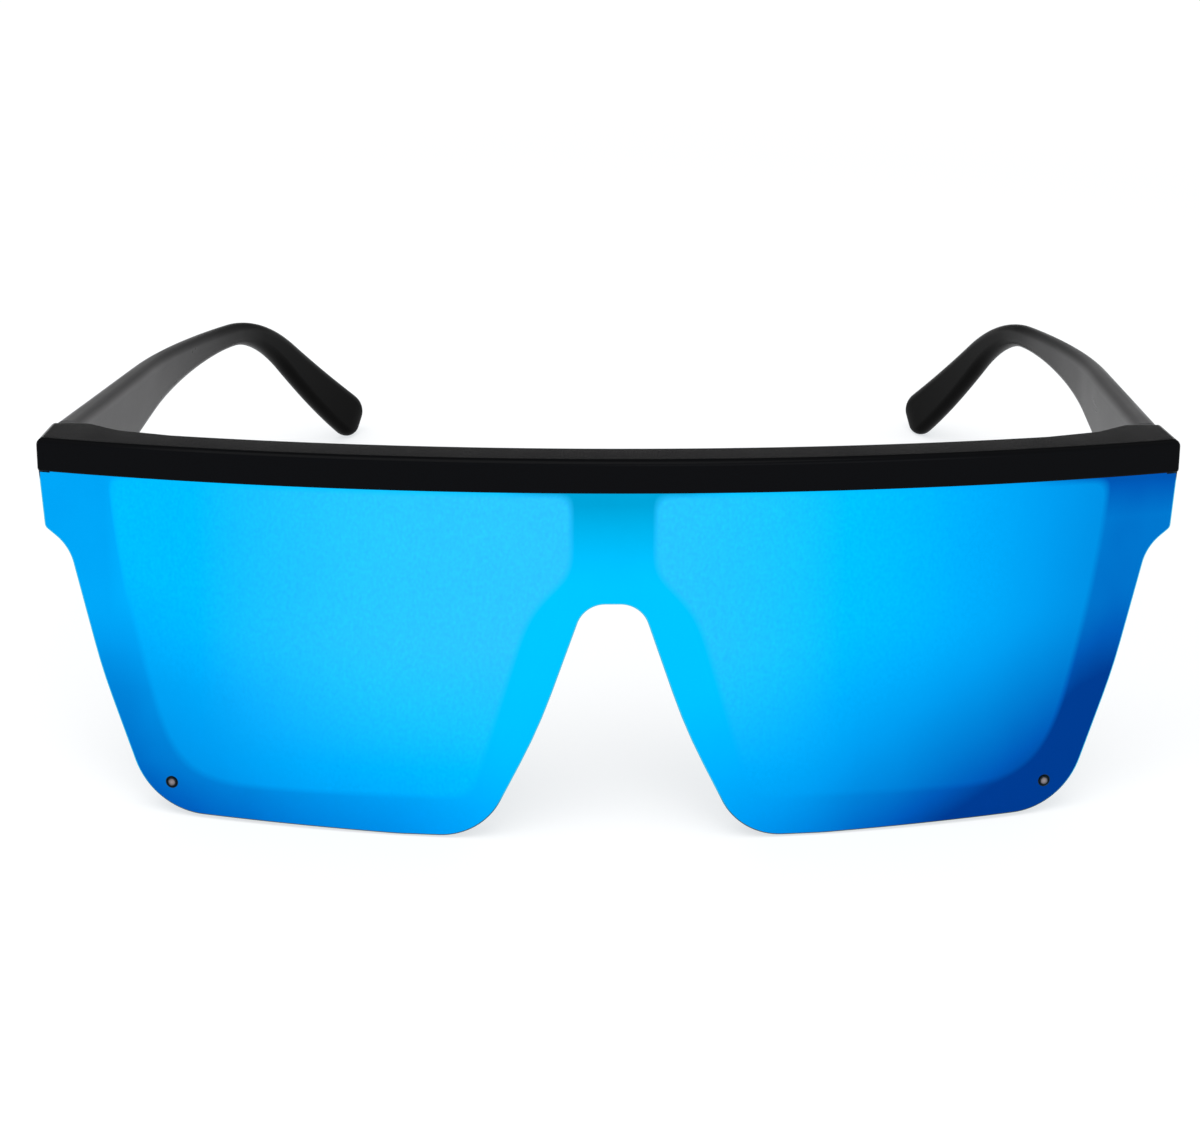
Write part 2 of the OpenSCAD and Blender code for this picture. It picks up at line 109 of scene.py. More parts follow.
# The hinges. HINGE is the place of the right one
HINGE = (69.8, 22.228, 44.55)
KNUCKLE_R = 1.6
KNUCKLE_H = 2.2
FRONT_LEAF_LEN = 6
TEMPLE_LEAF_LEN = 9
SEAM_GAP = 0.25
SWEEP_GAP = 0.3
PRESS_GAP = 0.02
BOND_GAP = 0.05

# The temples. SOFT is the softness of the taper's end
TEMPLE_HALF = 74.6
TEMPLE_T, TIP_T = 4.0, 3.2
TEMPLE_H, WAIST_H, TIP_H = 13.4, 3.7, 8.0
STRAIGHT, CURVE_R, CURVE_LEN = 48.0, 185.0, 94.0
SLOPE, BEND_FROM, BEND_R, TIP_ANGLE = 1.8, 94.0, 46.0, 32.0
FLARE_RUN, SOFT = 48.0, 0.14
SPLAY, LEFT_FOLD = 4.4, 7.5

# Forms measured in the photograph after the solids were final: the waist's softer corner, the ears' lower
# ends, the endpieces' shorter taper, the temples' larger rounding and their squarer tips
WAIST_CORNER = 6
EAR_LOWER = 0.3
END_SLOPE_W = 5
END_SLOPE_CORNER = 4
TEMPLE_ROUND = 1.6
TIP_ROUND = 3.5
TIP_SQUARE = 2.6

# One eye's opening in the rims, as (x, z, corner): brow, nose and foot, then back up the outer side
EYE = [
    (5.4, BROW_Z - 1, 3), (5.4, 36, 3), (10.9, 30.6, 5), (18.4, 5.4, 4),
    (57.6, 5.4, 13), (64.7, 36, 60), (65.1, BROW_Z - 1, 3),
]

# Places that follow from the sizes
RIM_FRONT_R = BASE_R - LENS_T - BOND_GAP
RIM_BACK_R = RIM_FRONT_R - RIM_T
END_LOW_Z = EAR_Z + RIM_INSET
END_X = HINGE[0] - 0.4
SEAM_Y = HINGE[1] - SEAM_GAP / 2
STACK_HALF = 1.5 * KNUCKLE_H
SEAT_X = HINGE[0] + KNUCKLE_R
RUN = STRAIGHT + CURVE_LEN - 1
WAIST_AT = BEND_FROM + 1

# Arcs' steps in degrees, longest edges, and the spacing of points inside the curved faces
FINE_STEP, STEP, SLAB_STEP = 4, 5, 6
FINE_EDGE, EDGE_LEN = 1.2, 1.5
FACE_PITCH = 2.2

# Points nearer than these are one point: in a mesh, in metres, and in an outline and a face, in millimetres
SAME_POINT = 2e-6
SAME_CORNER, SAME_IN_FACE = 1e-4, 1e-6

# The hinge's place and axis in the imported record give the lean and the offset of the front's axes
hinge = next(j for j in frame["joints"] if j["name"] == "temple_right_fold")
LEAN = math.atan2(hinge["axis"][1], hinge["axis"][2])
COS_L, SIN_L = math.cos(LEAN), math.sin(LEAN)


def leaned(p):
    return Vector((p[0], p[1] * COS_L + p[2] * SIN_L, p[2] * COS_L - p[1] * SIN_L)) * MM


OFFSET = Vector(hinge["pos_m"]) - leaned(HINGE)


def to_row(p):
    return leaned(p) + OFFSET


def sin_d(a):
    return math.sin(math.radians(a))


def cos_d(a):
    return math.cos(math.radians(a))


def sagitta(r, x):
    """How far back a circle of radius r about the front's axis lies at x."""
    return BASE_R - math.sqrt(r * r - x * x)


# Outlines in two dimensions

def rounded(points, step=STEP):
    """Closed outline through (x, y, r), each corner rounded with its own r."""
    out = []
    for i, (x, y, r) in enumerate(points):
        b = Vector((x, y))
        if r == 0:
            out.append(b)
            continue
        u = (Vector(points[i - 1][:2]) - b).normalized()
        w = (Vector(points[(i + 1) % len(points)][:2]) - b).normalized()
        half = math.acos(max(-1, min(1, u.dot(w)))) / 2
        centre = b + (u + w).normalized() * r / math.sin(half)
        first, last = b + u * r / math.tan(half) - centre, b + w * r / math.tan(half) - centre
        start = math.atan2(first.y, first.x)
        sweep = (math.atan2(last.y, last.x) - start + math.pi) % (2 * math.pi) - math.pi
        steps = max(3, math.ceil(abs(math.degrees(sweep)) / step))
        for k in range(steps + 1):
            a = start + sweep * k / steps
            out.append(centre + Vector((math.cos(a), math.sin(a))) * r)
    return out


def both_halves(half):
    return half + [(-x, y, r) for x, y, r in reversed(half)]


def resampled(loop, longest):
    """The loop with no edge longer than longest, and no two points in one place."""
    out = []
    for i, a in enumerate(loop):
        b = loop[(i + 1) % len(loop)]
        if (b - a).length < SAME_CORNER:
            continue
        n = max(1, math.ceil((b - a).length / longest))
        out += [a.lerp(b, k / n) for k in range(n)]
    return out


def area(loop):
    return sum(a.x * b.y - b.x * a.y for a, b in zip(loop, loop[1:] + loop[:1])) / 2


def inset(loop, d):
    """The loop moved inwards by d along its corners' bisectors. Use a negative d for a hole."""
    if d == 0:
        return [p.copy() for p in loop]
    turn = 1 if area(loop) > 0 else -1
    # A sharp corner moves by twice d at most
    least_dot = 0.5
    out = []
    for i, p in enumerate(loop):
        u = (p - loop[i - 1]).normalized()
        w = (loop[(i + 1) % len(loop)] - p).normalized()
        nu, nw = Vector((-u.y, u.x)) * turn, Vector((-w.y, w.x)) * turn
        n = (nu + nw).normalized()
        out.append(p + n * d / max(least_dot, n.dot(nu)))
    return out


def inside(p, loop):
    hit = False
    for a, b in zip(loop, loop[1:] + loop[:1]):
        if (a.y > p.y) != (b.y > p.y) and p.x < (b.x - a.x) * (p.y - a.y) / (b.y - a.y) + a.x:
            hit = not hit
    return hit


def in_plate(p, loops):
    """Whether p lies inside the outline loops[0] and in none of the holes, the other loops."""
    return inside(p, loops[0]) and not any(inside(p, hole) for hole in loops[1:])


def grid_points(loops, pitch):
    """Points in the plate, pitch apart and clear of its edges."""
    clear = 0.55 * pitch
    fixed = [p for loop in loops for p in loop]
    xs, ys = [p.x for p in loops[0]], [p.y for p in loops[0]]
    out = []
    for gx in range(int((max(xs) - min(xs)) / pitch) + 1):
        for gy in range(int((max(ys) - min(ys)) / pitch) + 1):
            p = Vector((min(xs) + (gx + 0.5) * pitch, min(ys) + (gy + 0.5) * pitch))
            if in_plate(p, loops) and all((p - q).length >= clear for q in fixed):
                out.append(p)
    return out


def circle(x, y, r, n):
    angles = [2 * math.pi * i / n for i in range(n)]
    return [(x + r * math.cos(a), y + r * math.sin(a)) for a in angles]


def arc_points(r, x_from, x_to, n):
    """Points of a circle about the front's axis, seen from above, as corners with no rounding."""
    xs = [x_from + (x_to - x_from) * i / n for i in range(n + 1)]
    return [(x, sagitta(r, x), 0) for x in xs]


# Meshes

def add_to_scene(obj):
    bpy.context.scene.collection.objects.link(obj)
    return obj


def new_mesh_object(name, verts, faces, materials):
    mesh = bpy.data.meshes.new(name)
    mesh.from_pydata([to_row(v) for v in verts], [], faces)
    for m in materials:
        mesh.materials.append(m)
    return add_to_scene(bpy.data.objects.new(name, mesh))


def plate(loops, rings, place, pitch=None, slots=(0, 0, 0)):
    """Closed body with an outline, loops[0], and holes, the other loops.

    rings are (inset, depth) from the front face to the rear one, and place(x, y, depth) gives a point in
    space. pitch is the spacing of points inside the two faces, for curved ones. slots are the materials of
    the front face, the sides and the rear face. Returns vertices, faces and their material slots.
    """
    verts, faces, mats = [], [], []
    cuts = [[inset(loop, d if i == 0 else -d) for i, loop in enumerate(loops)] for d, _ in rings]
    starts = []
    for (_, depth), cut in zip(rings, cuts):
        row = []
        for loop in cut:
            row.append(len(verts))
            verts += [place(p.x, p.y, depth) for p in loop]
        starts.append(row)
    for k in range(len(rings) - 1):
        for j, loop in enumerate(loops):
            n = len(loop)
            a, b = starts[k][j], starts[k + 1][j]
            outward = (area(loop) > 0) == (j == 0)
            for i in range(n):
                m = (i + 1) % n
                quad = [a + i, b + i, b + m, a + m]
                faces.append(quad if outward else quad[::-1])
                mats.append(slots[1])
    for end, slot in ((0, slots[0]), (len(rings) - 1, slots[2])):
        cut, depth = cuts[end], rings[end][1]
        points = [p for loop in cut for p in loop]
        index = [starts[end][j] + i for j, loop in enumerate(cut) for i in range(len(loop))]
        edges, base = [], 0
        for loop in cut:
            n = len(loop)
            edges += [(base + i, base + (i + 1) % n) for i in range(n)]
            base += n
        if pitch:
            points += grid_points(cut, pitch)
        out, _, tris, origin, _, _ = delaunay_2d_cdt(points, edges, [], 0, SAME_IN_FACE)
        lookup = []
        for p, source in zip(out, origin):
            if source and source[0] < len(index):
                lookup.append(index[source[0]])
            else:
                lookup.append(len(verts))
                verts.append(place(p.x, p.y, depth))
        for tri in tris:
            if in_plate((out[tri[0]] + out[tri[1]] + out[tri[2]]) / 3, cut):
                ids = [lookup[i] for i in tri]
                faces.append(ids[::-1] if end == 0 else ids)
                mats.append(slot)
    return verts, faces, mats


def on_cylinder(x, z, depth):
    """A point at depth behind the lens's outer face."""
    return (x, sagitta(BASE_R - depth, x), z)


def lying(x, y, z):
    return (x, y, z)


def soft_edge(face, r, sign):
    """Rings that round the edge of a plate's face at this depth, with the plate on the sign's side of it."""
    return [(0, face + sign * r), (0.3 * r, face + sign * 0.3 * r), (r, face)]


def shaded(obj, angle=35):
    """Smooth faces with sharp edges over the angle, and normals weighted so that flat faces stay flat."""
    bm = bmesh.new()
    bm.from_mesh(obj.data)
    bmesh.ops.remove_doubles(bm, verts=bm.verts, dist=SAME_POINT)
    bmesh.ops.recalc_face_normals(bm, faces=bm.faces)
    for f in bm.faces:
        f.smooth = True
    for e in bm.edges:
        e.smooth = len(e.link_faces) == 2 and e.calc_face_angle(0) < math.radians(angle)
    bm.to_mesh(obj.data)
    bm.free()
    weighted = obj.modifiers.new("weighted", "WEIGHTED_NORMAL")
    weighted.keep_sharp = True
    weighted.weight = 100
    return obj


def applied(obj):
    """The object with its modifiers made part of its mesh."""
    bpy.context.view_layer.update()
    mesh = bpy.data.meshes.new_from_object(obj.evaluated_get(bpy.context.evaluated_depsgraph_get()))
    obj.modifiers.clear()
    obj.data = mesh
    return obj


def joined(name, objects):
    bm = bmesh.new()
    for o in objects:
        bm.from_mesh(o.data)
    mesh = bpy.data.meshes.new(name)
    bm.to_mesh(mesh)
    bm.free()
    for m in objects[0].data.materials:
        mesh.materials.append(m)
    for o in objects:
        bpy.data.objects.remove(o)
    return add_to_scene(bpy.data.objects.new(name, mesh))


def cut_away(obj, cutters):
    """Takes the closed bodies (vertices, faces) out of obj."""
    for verts, faces in cutters:
        tool = new_mesh_object("cutter", verts, faces, [])
        cut = obj.modifiers.new("cut", "BOOLEAN")
        cut.operation, cut.object, cut.solver = "DIFFERENCE", tool, "EXACT"
        applied(obj)
        bpy.data.objects.remove(tool)


def box_body(lo, hi):
    corners = ((lo[0], lo[1]), (hi[0], lo[1]), (hi[0], hi[1]), (lo[0], hi[1]))
    verts = [(x, y, z) for z in (lo[2], hi[2]) for x, y in corners]
    faces = [(3, 2, 1, 0), (4, 5, 6, 7), (0, 1, 5, 4), (1, 2, 6, 5), (2, 3, 7, 6), (3, 0, 4, 7)]
    return verts, faces


def rod_body(x, y, low, high, r, n=48):
    verts = [(*p, z) for z in (low, high) for p in circle(x, y, r, n)]
    faces = [tuple(range(n - 1, -1, -1)), tuple(range(n, 2 * n))]
    faces += [(i, (i + 1) % n, n + (i + 1) % n, n + i) for i in range(n)]
    return verts, faces


def placed(body, side, place):
    """A body drawn on the right side, with its points placed on the given one."""
    verts, faces = body
    return [place(v) for v in verts], faces if side > 0 else [tuple(reversed(f)) for f in faces]


def hinge_pockets(below, y_from, y_to):
    """The round pocket round the knuckles and the flat seat of a leaf, as bodies on the right side."""
    low, high = HINGE[2] - STACK_HALF, HINGE[2] + STACK_HALF
    return [
        rod_body(HINGE[0], HINGE[1], END_LOW_Z - below, high + SWEEP_GAP, KNUCKLE_R + SWEEP_GAP),
        box_body((SEAT_X - 3 * KNUCKLE_R, y_from, low - PRESS_GAP), (SEAT_X, y_to, high + PRESS_GAP)),
    ]


# Shader nodes

def material(name, **sockets):
    m = bpy.data.materials.new(name)
    m.use_nodes = True
    shader = m.node_tree.nodes["Principled BSDF"]
    for key, value in sockets.items():
        shader.inputs[key.replace("_", " ")].default_value = value
    return m, m.node_tree, shader


def node(tree, kind, **values):
    n = tree.nodes.new(kind)
    for key, value in values.items():
        if key in n.inputs:
            n.inputs[key].default_value = value
        else:
            setattr(n, key, value)
    return n


def noise(tree, scale, detail=2.0, stretch=(1, 1, 1)):
    """Noise in the object's own metres, scale in waves per metre."""
    place = node(tree, "ShaderNodeTexCoord")
    fit = node(tree, "ShaderNodeMapping")
    fit.inputs["Scale"].default_value = stretch
    tree.links.new(place.outputs["Object"], fit.inputs["Vector"])
    n = node(tree, "ShaderNodeTexNoise", Scale=scale, Detail=detail)
    tree.links.new(fit.outputs["Vector"], n.inputs["Vector"])
    return n.outputs["Fac"]


def ranged(tree, value, to, over=(0.3, 0.7)):
    """The value carried from the range over to the range to, and held at its ends.

    The usual range over is the one that noise mostly fills.
    """
    n = node(tree, "ShaderNodeMapRange")
    n.inputs["From Min"].default_value, n.inputs["From Max"].default_value = over
    n.inputs["To Min"].default_value, n.inputs["To Max"].default_value = to
    tree.links.new(value, n.inputs["Value"])
    return n.outputs["Result"]


def maths(tree, operation, *values):
    n = node(tree, "ShaderNodeMath", operation=operation)
    for socket, value in zip(n.inputs, values):
        if isinstance(value, (int, float)):
            socket.default_value = value
        else:
            tree.links.new(value, socket)
    return n.outputs[0]


def tools(tree):
    """maths and ranged for one tree."""
    return partial(maths, tree), partial(ranged, tree)


def scaled(tree, colour, factor):
    n = node(tree, "ShaderNodeVectorMath", operation="SCALE")
    tree.links.new(colour, n.inputs[0])
    tree.links.new(factor, n.inputs["Scale"])
    return n.outputs["Vector"]


def ramp(tree, value, *stops):
    n = node(tree, "ShaderNodeValToRGB")
    while len(n.color_ramp.elements) < len(stops):
        n.color_ramp.elements.new(0.5)
    for e, (at, colour) in zip(n.color_ramp.elements, stops):
        e.position, e.color = at, (*colour, 1)
    tree.links.new(value, n.inputs["Fac"])
    return n.outputs["Color"]


def axes_of(tree, vector):
    split = node(tree, "ShaderNodeSeparateXYZ")
    tree.links.new(vector, split.inputs["Vector"])
    return split.outputs


def front_axes(tree):
    """X, Y and Z of the front's own axes, in millimetres."""
    place = node(tree, "ShaderNodeTexCoord")
    back = node(tree, "ShaderNodeMapping", vector_type="TEXTURE")
    back.inputs["Location"].default_value = OFFSET
    back.inputs["Rotation"].default_value = (-LEAN, 0, 0)
    back.inputs["Scale"].default_value = (MM, MM, MM)
    tree.links.new(place.outputs["Object"], back.inputs["Vector"])
    return axes_of(tree, back.outputs["Vector"])


def from_pin(tree):
    """Distance from the nearer pin's middle along the front, in millimetres."""
    calc, _ = tools(tree)
    x, _, z = front_axes(tree)
    across = calc("SUBTRACT", calc("ABSOLUTE", x), PIN[0])
    up = calc("SUBTRACT", z, PIN[1])
    return calc("SQRT", calc("ADD", calc("POWER", across, 2), calc("POWER", up, 2)))


def bumped(tree, shader, height, strength, distance):
    b = node(tree, "ShaderNodeBump", Strength=strength, Distance=distance)
    tree.links.new(height, b.inputs["Height"])
    tree.links.new(b.outputs["Normal"], shader.inputs["Normal"])


# Materials

# How much of the near colour, on the temples a painted sheen, is left along the temples from the hinges to
# the tips
SHEEN_FADE_Y = (25, 130)
SHEEN_FADE = ((0, 1), (0.55, 0.68), (0.8, 0.42), (0.92, 0.12), (1, 0))


def black_plastic(name, near, far, rough, ior):
    """Moulded plastic: its sides have the colour near at the hinges and the colour far at the tips.
    On the temples, the grey near the hinges is a painted sheen that stands in for a reflection.

    The faces on top stay darker, which is painted shade. It has a faint orange peel and a cloudy polish.
    """
    m, tree, shader = material(name, IOR=ior)
    along = maths(tree, "MULTIPLY_ADD", noise(tree, 60, 3), 12, front_axes(tree)[1])
    stops = [(at, [b + (a - b) * share for a, b in zip(near, far)]) for at, share in SHEEN_FADE]
    colour = ramp(tree, ranged(tree, along, (0, 1), SHEEN_FADE_Y), *stops)
    # Painted shade: the faces turned up are darker
    facing_up = axes_of(tree, node(tree, "ShaderNodeTexCoord").outputs["Normal"])[2]
    colour = scaled(tree, colour, ranged(tree, facing_up, (1, 0.4), (0.35, 0.85)))
    tree.links.new(colour, shader.inputs["Base Color"])
    tree.links.new(ranged(tree, noise(tree, 160, 4, (1, 0.35, 1)), rough), shader.inputs["Roughness"])
    bumped(tree, shader, noise(tree, 700, 2), 0.12, 0.04 * MM)
    return m


def steel(name, base, rough):
    """Turned or rolled steel: fine lines and slight darkening."""
    m, tree, shader = material(name, Metallic=1.0)
    lines = noise(tree, 900, 3, (1, 1, 9))
    dark = [c * 0.8 for c in base]
    tree.links.new(ramp(tree, lines, (0.3, dark), (0.7, base)), shader.inputs["Base Color"])
    tree.links.new(ranged(tree, lines, (rough * 0.8, rough * 1.3)), shader.inputs["Roughness"])
    bumped(tree, shader, lines, 0.15, 0.02 * MM)
    return m


def inside_opening(tree, out, z):
    """How far inside the line of the eye's opening a point lies, in millimetres, with soft corners."""
    calc, _ = tools(tree)

    def left_of(i):
        """Distance to the left of the line from the opening's corner i to the next one."""
        (ax, az, _), (bx, bz, _) = EYE[i], EYE[i + 1]
        n = Vector((az - bz, bx - ax)).normalized()
        return calc("MULTIPLY_ADD", out, n.x, calc("MULTIPLY_ADD", z, n.y, -n.x * ax - n.y * az))

    nose = calc("SMOOTH_MAX", left_of(1), left_of(2), 3)
    within = calc("SMOOTH_MIN", calc("SMOOTH_MIN", nose, left_of(0), 3), left_of(3), 4)
    within = calc("SMOOTH_MIN", within, calc("SMOOTH_MIN", left_of(4), left_of(5), 4), 14)
    return calc("SMOOTH_MIN", within, calc("SUBTRACT", BROW_Z - 0.4, z), 3)


def blue_depth_with_rim_shade(tree, rim):
    """How deep the blue is: about 0 beside the nose, and up to 1 in the right lower corner.

    rim is 1 over the rims and 0 over the eyes. Over the rims the depth adds painted shade: the dark rims
    behind, as seen through the lens.
    """
    calc, ease = tools(tree)
    x, _, z = front_axes(tree)
    out = calc("ABSOLUTE", x)

    def grown(value, start, blur, per_mm):
        """Grows by per_mm for each millimetre of value past start, and starts softly."""
        return calc("MULTIPLY", calc("SMOOTH_MAX", calc("SUBTRACT", value, start), 0, blur), per_mm)

    # Deeper downwards, from further up towards the sides, and deeper to the right
    start = calc("MINIMUM", calc("MULTIPLY_ADD", x, 0.4, 15), 28)
    start = calc("MAXIMUM", start, calc("MULTIPLY_ADD", x, -0.45, 5.6))
    right = calc("SMOOTH_MIN", grown(x, 26, 14, 0.0155), 0.62, 0.1)
    depth = calc("ADD", calc("ADD", grown(start, z, 6, 0.0235), right), 0.02)

    # Painted shade: the rims behind the lens, seen through it, make the blue deeper than over the eyes, most
    # of all at the sides, along the left foot and at the right ear
    sides = calc("ADD", ease(out, (0, 0.06), (15, 30)), ease(out, (0, 0.10), (52, 64)))
    foot = calc("MULTIPLY", ease(x, (0.1, 0), (-5, 10)), ease(z, (1, 0), (4, 22)))
    foot = calc("MULTIPLY", foot, ease(out, (1, 0.3), (48, 58)))
    ear = calc("MULTIPLY", ease(z, (0, 0.16), (41, 46)), ease(x, (0, 1), (55, 62)))
    depth = calc("MULTIPLY_ADD", rim, sides, depth)
    depth = calc("MULTIPLY_ADD", rim, calc("ADD", foot, ear), depth)

    # Deeper at the left side above the corner, but not on the upper half of the left rim. The outer rims have
    # a least depth
    upper = calc("MULTIPLY_ADD", rim, ease(z, (0, -1), (22, 34)), 1)
    upper = calc("MULTIPLY", upper, ease(z, (0, 1), (8, 18)))
    depth = calc("MULTIPLY_ADD", ease(x, (0.11, 0), (-56, -32)), upper, depth)
    least = calc("MULTIPLY", rim, ease(out, (0, 0.42), (56, 66)))
    depth = calc("SMOOTH_MAX", depth, least, 0.08)

    # Clouds, stronger over the outer rims, and a fine grain in the bright parts over the eyes
    cloud = calc("SUBTRACT", noise(tree, 45, 3, (1, 1, 0.6)), 0.5)
    cloudy = calc("MULTIPLY_ADD", rim, ease(out, (0, 0.25), (50, 62)), 0.12)
    grain = calc("SUBTRACT", noise(tree, 2600, 2, (1, 1, 0.7)), 0.5)
    grain = calc("MULTIPLY", grain, ease(depth, (0.45, 0), (0, 0.5)))
    grain = calc("MULTIPLY", grain, calc("SUBTRACT", 1, rim))
    return calc("ADD", calc("MULTIPLY_ADD", cloud, cloudy, depth), grain)


def mirror_coat():
    """Blue mirror coating: bright over the eyes, deeper on the right and in the corners.

    Painted shade deepens it over the rims behind it and at the bridge under the brow, and a painted trace of
    light from behind lies over the eyes.
    """
    m, tree, shader = material("mirror_blue", Metallic=1.0)
    calc, ease = tools(tree)
    x, _, z = front_axes(tree)
    out = calc("ABSOLUTE", x)
    rim = ease(inside_opening(tree, out, z), (1, 0), (-0.45, 0.45))
    colour = ramp(
        tree, calc("MULTIPLY_ADD", blue_depth_with_rim_shade(tree, rim), 0.88, 0.12),
        (0.0, (0.0, 0.60, 1.0)), (0.12, (0.0, 0.54, 1.0)), (0.34, (0.0, 0.44, 0.97)),
        (0.56, (0.0, 0.325, 0.83)), (0.78, (0.0, 0.19, 0.61)), (0.91, (0.0, 0.10, 0.46)),
        (1.0, (0.0, 0.043, 0.27)),
    )

    # Painted shade of the brow: the bridge darkens towards it
    brow_shade = calc("POWER", ease(z, (0, 1), (34, 45)), 1.5)
    brow_shade = calc("MULTIPLY", calc("MULTIPLY", brow_shade, rim), ease(out, (0.35, 0), (9, 15)))
    colour = scaled(tree, colour, calc("SUBTRACT", 1, brow_shade))

    # Painted light: a trace of the white behind shows through over the eyes, most of all left of the nose
    middle, half_width, strength = -12, 42, 0.024
    through = calc("POWER", calc("ABSOLUTE", calc("SUBTRACT", x, middle)), 2)
    through = calc("MAXIMUM", calc("MULTIPLY_ADD", through, -1 / half_width ** 2, 1), 0)
    through = calc("MULTIPLY", through, ease(z, (0, strength), (9, 26)))
    trace = node(tree, "ShaderNodeCombineXYZ")
    tree.links.new(calc("MULTIPLY", through, calc("SUBTRACT", 1, rim)), trace.inputs["X"])
    summed = node(tree, "ShaderNodeVectorMath", operation="ADD")
    tree.links.new(colour, summed.inputs[0])
    tree.links.new(trace.outputs["Vector"], summed.inputs[1])
    tree.links.new(summed.outputs["Vector"], shader.inputs["Base Color"])
    tree.links.new(ease(noise(tree, 300, 3), (0.16, 0.22)), shader.inputs["Roughness"])
    return m


def lens_edge():
    """The cut edge of the lens: clear blue plastic that gathers light.

    Painted shade darkens it low down, most of all along its foot, and on the walls of the holes for the pins
    and just under the brow.
    """
    m, tree, shader = material("lens_edge", Roughness=0.25, Metallic=0.75)
    calc, ease = tools(tree)
    z = front_axes(tree)[2]
    # Painted shade: darker low down, darkest along the foot
    colour = ramp(
        tree, ease(calc("MULTIPLY_ADD", noise(tree, 250, 2), 1.5, z), (0, 1), (1.8, 8)),
        (0.0, (0.03, 0.06, 0.05)), (0.4, (0.01, 0.16, 0.26)), (0.9, (0.05, 0.56, 0.80)),
    )
    # Painted shade in the pins' holes and just under the brow
    lit = calc("MINIMUM", ease(from_pin(tree), (0.04, 1), (1.2, 2)), ease(z, (1, 0.04), (45.3, 46)))
    tree.links.new(scaled(tree, colour, lit), shader.inputs["Base Color"])
    return m


def lens_back():
    """The smoke-grey rear face of the lens."""
    m, tree, shader = material("lens_smoke", IOR=1.5)
    colour = ramp(tree, noise(tree, 60, 3), (0.3, (0.016, 0.019, 0.023)), (0.7, (0.024, 0.027, 0.032)))
    tree.links.new(colour, shader.inputs["Base Color"])
    tree.links.new(ranged(tree, noise(tree, 200, 3), (0.05, 0.1)), shader.inputs["Roughness"])
    return m


def pin_metal():
    """The head of a pin: dull steel, lighter in the middle, with painted shade in a ring round it."""
    m, tree, shader = material("pin_steel", Metallic=1.0, Roughness=0.35)
    wobble = maths(tree, "SUBTRACT", noise(tree, 1500, 2), 0.5)
    r = maths(tree, "MULTIPLY_ADD", wobble, 0.3, from_pin(tree))
    # Painted shade: the ring round the head, where it sits in the lens's hole, is dark
    colour = ramp(
        tree, ranged(tree, r, (0, 1), (0, 0.7)),
        (0.0, (0.30, 0.27, 0.28)), (0.45, (0.20, 0.18, 0.19)), (0.75, (0.012, 0.02, 0.025)),
    )
    tree.links.new(colour, shader.inputs["Base Color"])
    bumped(tree, shader, noise(tree, 900, 3), 0.15, 0.02 * MM)
    return m


BLUISH_BLACK = (0.0036, 0.004, 0.0052)
FRONT_BLACK = black_plastic("front_black", BLUISH_BLACK, BLUISH_BLACK, (0.14, 0.20), 1.105)
# The temples' grey near the hinges is a painted sheen, fading to black at the tips
TEMPLE_BLACK = black_plastic("temple_black", (0.17, 0.17, 0.174), (0.001, 0.001, 0.001), (0.27, 0.34), 1.09)
MIRROR, EDGE, SMOKE = mirror_coat(), lens_edge(), lens_back()
HINGE_STEEL = steel("hinge_steel", (0.55, 0.55, 0.57), 0.3)
SCREW_STEEL = steel("screw_steel", (0.62, 0.62, 0.63), 0.24)
PIN_STEEL = pin_metal()

# The lens

# From the notch round the lobe and up the side to the ear. The two longest corners only bow the sides.
LENS_HALF = [
    (NOTCH_TOP, NOTCH_H, NOTCH_CORNER),
    (NOTCH_FOOT * 0.56, NOTCH_H * 0.47, 2 * FILLET_LONG),
    (NOTCH_FOOT, 0, NOTCH_FOOT_CORNER),
    (LOBE_X, 0, FILLET_LONG),
    (LOBE_HALF, LOBE_RISE, LOBE_CORNER),
    ((LOBE_HALF + WAIST_HALF) / 2 + 1.2, (WAIST_Z + LOBE_RISE) / 2 + 1.1, 2 * FILLET_LONG),
    (WAIST_HALF, WAIST_Z, WAIST_CORNER),
    (FRONT_HALF - 0.5, EAR_Z - EAR_LOWER, EAR_CORNER),
]

# The top edge in the brow bar's groove
TUCKED = [
    (FRONT_HALF, BROW_Z - BOND_GAP, 0),
    (GROOVE_HALF, BROW_Z - BOND_GAP, 0),
    (GROOVE_HALF, LENS_TOP, 0),
]

# (inset, depth) of the lens's edge: rounded in front, with a small chamfer behind
LENS_RINGS = [(0.18, 0), (0.05, 0.05), (0, 0.18), (0, LENS_T - 0.14), (0.12, LENS_T)]


def lens():
    loops = [resampled(rounded(both_halves(LENS_HALF + TUCKED), FINE_STEP), FINE_EDGE)]
    for side in (-1, 1):
        loops.append([Vector(p) for p in circle(side * PIN[0], PIN[1], PIN[2] + PRESS_GAP, 32)])
    verts, faces, mats = plate(loops, LENS_RINGS, on_cylinder, FACE_PITCH, (0, 1, 2))
    obj = new_mesh_object("shield_lens_mirrored", verts, faces, [MIRROR, EDGE, SMOKE])
    for face, slot in zip(obj.data.polygons, mats):
        face.material_index = slot
    shaded(obj, 15)
    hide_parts("shield_lens")
    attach(obj, "front")


lens()

# The front

# Corners of an endpiece's rear, seen from above: the seam's inner end, and the slope's foot at the brow bar
SEAM_INNER = (END_X, SEAM_Y, END_ROUND)
SLOPE_FOOT = (END_X - END_SLOPE_W, sagitta(BASE_R, END_X) + BROW_BACK - 0.2, END_SLOPE_CORNER)


def front_plate(name, loops, rings, place=lying, pitch=None):
    verts, faces, _ = plate(loops, rings, place, pitch)
    return new_mesh_object(name, verts, faces, [FRONT_BLACK])


